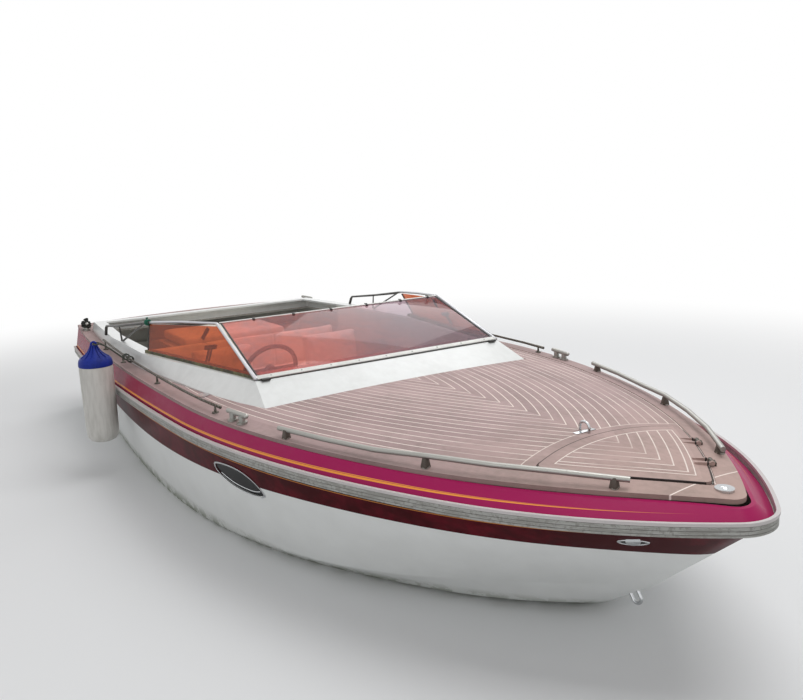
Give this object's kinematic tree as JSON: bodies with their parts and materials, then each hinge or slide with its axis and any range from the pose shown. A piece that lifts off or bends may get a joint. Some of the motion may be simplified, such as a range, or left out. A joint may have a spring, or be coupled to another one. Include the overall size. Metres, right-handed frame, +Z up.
{
  "type": "sports speedboat",
  "caption": "Open sports speedboat afloat: V hull, red band, teak foredeck with hatch, tinted raked screen, cockpit, cuddy cabin and steerable, tilting stern drive.",
  "frame": {"origin": "on the centreline at the waterline, 2.7 m ahead of the transom", "axes": "+X to the bow, +Y to port, +Z up"},
  "size_m": [6.4543, 2.6404, 1.8195],
  "materials": {
    "gelcoat": "white hull with a dark maroon band under the rail",
    "red_gelcoat": "glossy magenta red with an orange pinstripe",
    "white_gelcoat": "white gel coat",
    "liner_gelcoat": "white moulded liner",
    "rail_rubber": "weathered grey rub rail with a white edge",
    "teak": "bleached teak planks with pale caulking",
    "dark_glass": "black glass",
    "chrome": "polished",
    "stainless": "dulled stainless steel",
    "anodised": "silver anodised tube",
    "white_strip": "white strips with screws",
    "pink_acrylic": "pink tinted acrylic",
    "orange_acrylic": "orange-brown tinted acrylic",
    "sill_trim": "weathered dark sill trim",
    "carpet": "grey marine carpet",
    "dash_vinyl": "dark red-brown covering",
    "wheel_rim": "dark rim on metal spokes",
    "seat_vinyl": "off-white marine vinyl",
    "cabin_fabric": "woven berth covers",
    "engine_paint": "dark engine enamel",
    "drive_paint": "satin black drive enamel",
    "alloy": "cast alloy",
    "rope": "weathered laid rope",
    "fender_vinyl": "white inflated vinyl with blue end caps"
  },
  "bodies": {
    "hull": {"hull": "gelcoat", "rub_rail": "rail_rubber", "deck_band": "red_gelcoat", "covering_board": "teak", "deck_planks": "teak", "deck_panel": "liner_gelcoat", "coaming": "white_gelcoat", "portlight_glass": "dark_glass", "portlight_frames": "chrome", "hatch_hinges": "stainless", "bow_rails": "stainless", "side_rails": "stainless", "cleats": "stainless", "stem_dome": "chrome", "eye_bolts": "stainless", "deck_filler": "chrome", "sidelights": "chrome", "cockpit_rails": "anodised", "screen_frame": "white_strip", "screen_glass": "pink_acrylic", "side_windows": "orange_acrylic", "window_sills": "sill_trim", "cockpit_sole": "carpet", "bulkheads": "liner_gelcoat", "dash": "dash_vinyl", "seat_bases": "liner_gelcoat", "seat_cushions": "seat_vinyl", "seat_backs": "seat_vinyl", "bench_base": "liner_gelcoat", "bench_cushion": "seat_vinyl", "bench_back": "seat_vinyl", "cockpit_liner": "liner_gelcoat", "engine_box": "liner_gelcoat", "engine": "engine_paint", "berth_plinth": "liner_gelcoat", "berth_cushions": "cabin_fabric", "transom_shield": "drive_paint", "fender": "fender_vinyl", "fender_line": "rope"},
    "drive_gimbal": {"gimbal_ring": "drive_paint"},
    "drive_leg": {"drive_leg": "drive_paint"},
    "propeller": {"propeller": "alloy"},
    "steering_wheel": {"steering_wheel": "wheel_rim"},
    "fore_hatch": {"fore_hatch": "teak"},
    "engine_lid": {"engine_lid": "liner_gelcoat", "sun_pad": "seat_vinyl"},
    "cabin_door": {"cabin_door": "white_gelcoat"}
  },
  "joints": [
    {"name": "drive_steer", "type": "hinge", "parent": "hull", "child": "drive_gimbal", "pos_m": [-2.84, 0, -0.04], "axis": [0, 0, 1], "range_deg": [-28, 28]},
    {"name": "drive_tilt", "type": "hinge", "parent": "drive_gimbal", "child": "drive_leg", "pos_m": [-2.84, 0, -0.04], "axis": [0, 1, 0], "range_deg": [0, 45]},
    {"name": "propeller_spin", "type": "hinge", "parent": "drive_leg", "child": "propeller", "pos_m": [-3.295, 0, -0.56], "axis": [-1, 0, 0], "continuous": true},
    {"name": "wheel_turn", "type": "hinge", "parent": "hull", "child": "steering_wheel", "pos_m": [0, -0.43, 0.7], "axis": [0.9272, 0, -0.3746], "range_deg": [-620, 620]},
    {"name": "hatch_lift", "type": "hinge", "parent": "hull", "child": "fore_hatch", "pos_m": [2.6611, 0.23456, 0.748], "axis": [-0.7518, 0.6594, 0], "range_deg": [0, 100]},
    {"name": "engine_lid_lift", "type": "hinge", "parent": "hull", "child": "engine_lid", "pos_m": [-2.295, 0, 0.552], "axis": [0, -1, 0], "range_deg": [0, 36]},
    {"name": "cabin_door_swing", "type": "hinge", "parent": "hull", "child": "cabin_door", "pos_m": [0.282, 0.424, 0.28], "axis": [0, 0, -1], "range_deg": [0, 95]}
  ],
  "couplings": [
    {"joint": "wheel_turn", "follows": "drive_steer", "ratio": 22}
  ]
}
